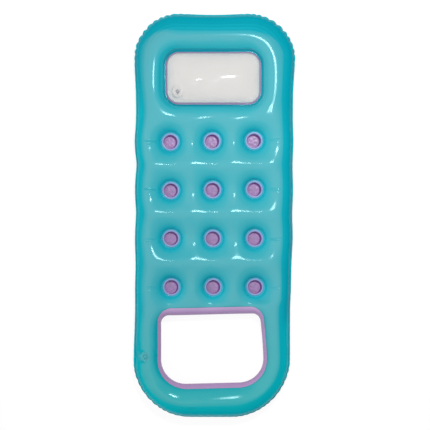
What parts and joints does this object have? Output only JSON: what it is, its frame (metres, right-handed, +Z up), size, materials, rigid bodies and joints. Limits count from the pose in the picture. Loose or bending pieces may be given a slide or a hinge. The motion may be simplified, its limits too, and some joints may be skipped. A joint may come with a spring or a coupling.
{
  "type": "inflatable pool lounger",
  "caption": "Inflatable pool mattress of two welded films with rows of round pockets, a clear pillow, an open foot window and push-in air valves.",
  "frame": {"origin": "on the surface the lounger rests on, under the middle of its outline", "axes": "+Y towards the head with the pillow, +X to the right of someone looking down at it, +Z up"},
  "size_m": [0.7312, 1.83, 0.1235],
  "materials": {
    "teal_film": "glossy see-through film",
    "lilac_film": "glossy film",
    "clear_film": "clear glossy film",
    "valve_plastic": "clear soft moulding"
  },
  "bodies": {
    "lounger": {"top_sheet": "teal_film", "bottom_sheet": "lilac_film", "pillow_top_film": "clear_film", "pillow_bottom_film": "clear_film", "pocket_cup_r1c1": "lilac_film", "pocket_cup_r1c2": "lilac_film", "pocket_cup_r1c3": "lilac_film", "pocket_cup_r2c1": "lilac_film", "pocket_cup_r2c2": "lilac_film", "pocket_cup_r2c3": "lilac_film", "pocket_cup_r3c1": "lilac_film", "pocket_cup_r3c2": "lilac_film", "pocket_cup_r3c3": "lilac_film", "pocket_cup_r4c1": "lilac_film", "pocket_cup_r4c2": "lilac_film", "pocket_cup_r4c3": "lilac_film", "main_valve_base": "valve_plastic", "pillow_valve_base": "valve_plastic"},
    "main_valve_stem": {"main_valve_stem": "valve_plastic"},
    "main_valve_stopper": {"main_valve_stopper": "valve_plastic"},
    "main_valve_flap": {"main_valve_flap": "valve_plastic"},
    "pillow_valve_stem": {"pillow_valve_stem": "valve_plastic"},
    "pillow_valve_stopper": {"pillow_valve_stopper": "valve_plastic"},
    "pillow_valve_flap": {"pillow_valve_flap": "valve_plastic"}
  },
  "joints": [
    {"name": "main_valve_stem_slide", "type": "slide", "parent": "lounger", "child": "main_valve_stem", "axis": [0, 0, 1], "range_m": [0, 0.012]},
    {"name": "main_valve_stopper_hinge", "type": "hinge", "parent": "main_valve_stem", "child": "main_valve_stopper", "pos_m": [-0.305, -0.6475, 0.12187], "axis": [1, 0, 0], "range_deg": [0, 150]},
    {"name": "main_valve_flap_hinge", "type": "hinge", "parent": "main_valve_stem", "child": "main_valve_flap", "pos_m": [-0.305, -0.6409, 0.09962], "axis": [-1, 0, 0], "range_deg": [0, 40], "stiffness_Nm_per_rad": 0.0002, "springref_deg": -11.46},
    {"name": "pillow_valve_stem_slide", "type": "slide", "parent": "lounger", "child": "pillow_valve_stem", "axis": [0, 0, 1], "range_m": [0, 0.012]},
    {"name": "pillow_valve_stopper_hinge", "type": "hinge", "parent": "pillow_valve_stem", "child": "pillow_valve_stopper", "pos_m": [-0.1605, 0.544, 0.10957], "axis": [1, 0, 0], "range_deg": [0, 150]},
    {"name": "pillow_valve_flap_hinge", "type": "hinge", "parent": "pillow_valve_stem", "child": "pillow_valve_flap", "pos_m": [-0.1605, 0.5506, 0.08732], "axis": [-1, 0, 0], "range_deg": [0, 40], "stiffness_Nm_per_rad": 0.0002, "springref_deg": -11.46}
  ]
}
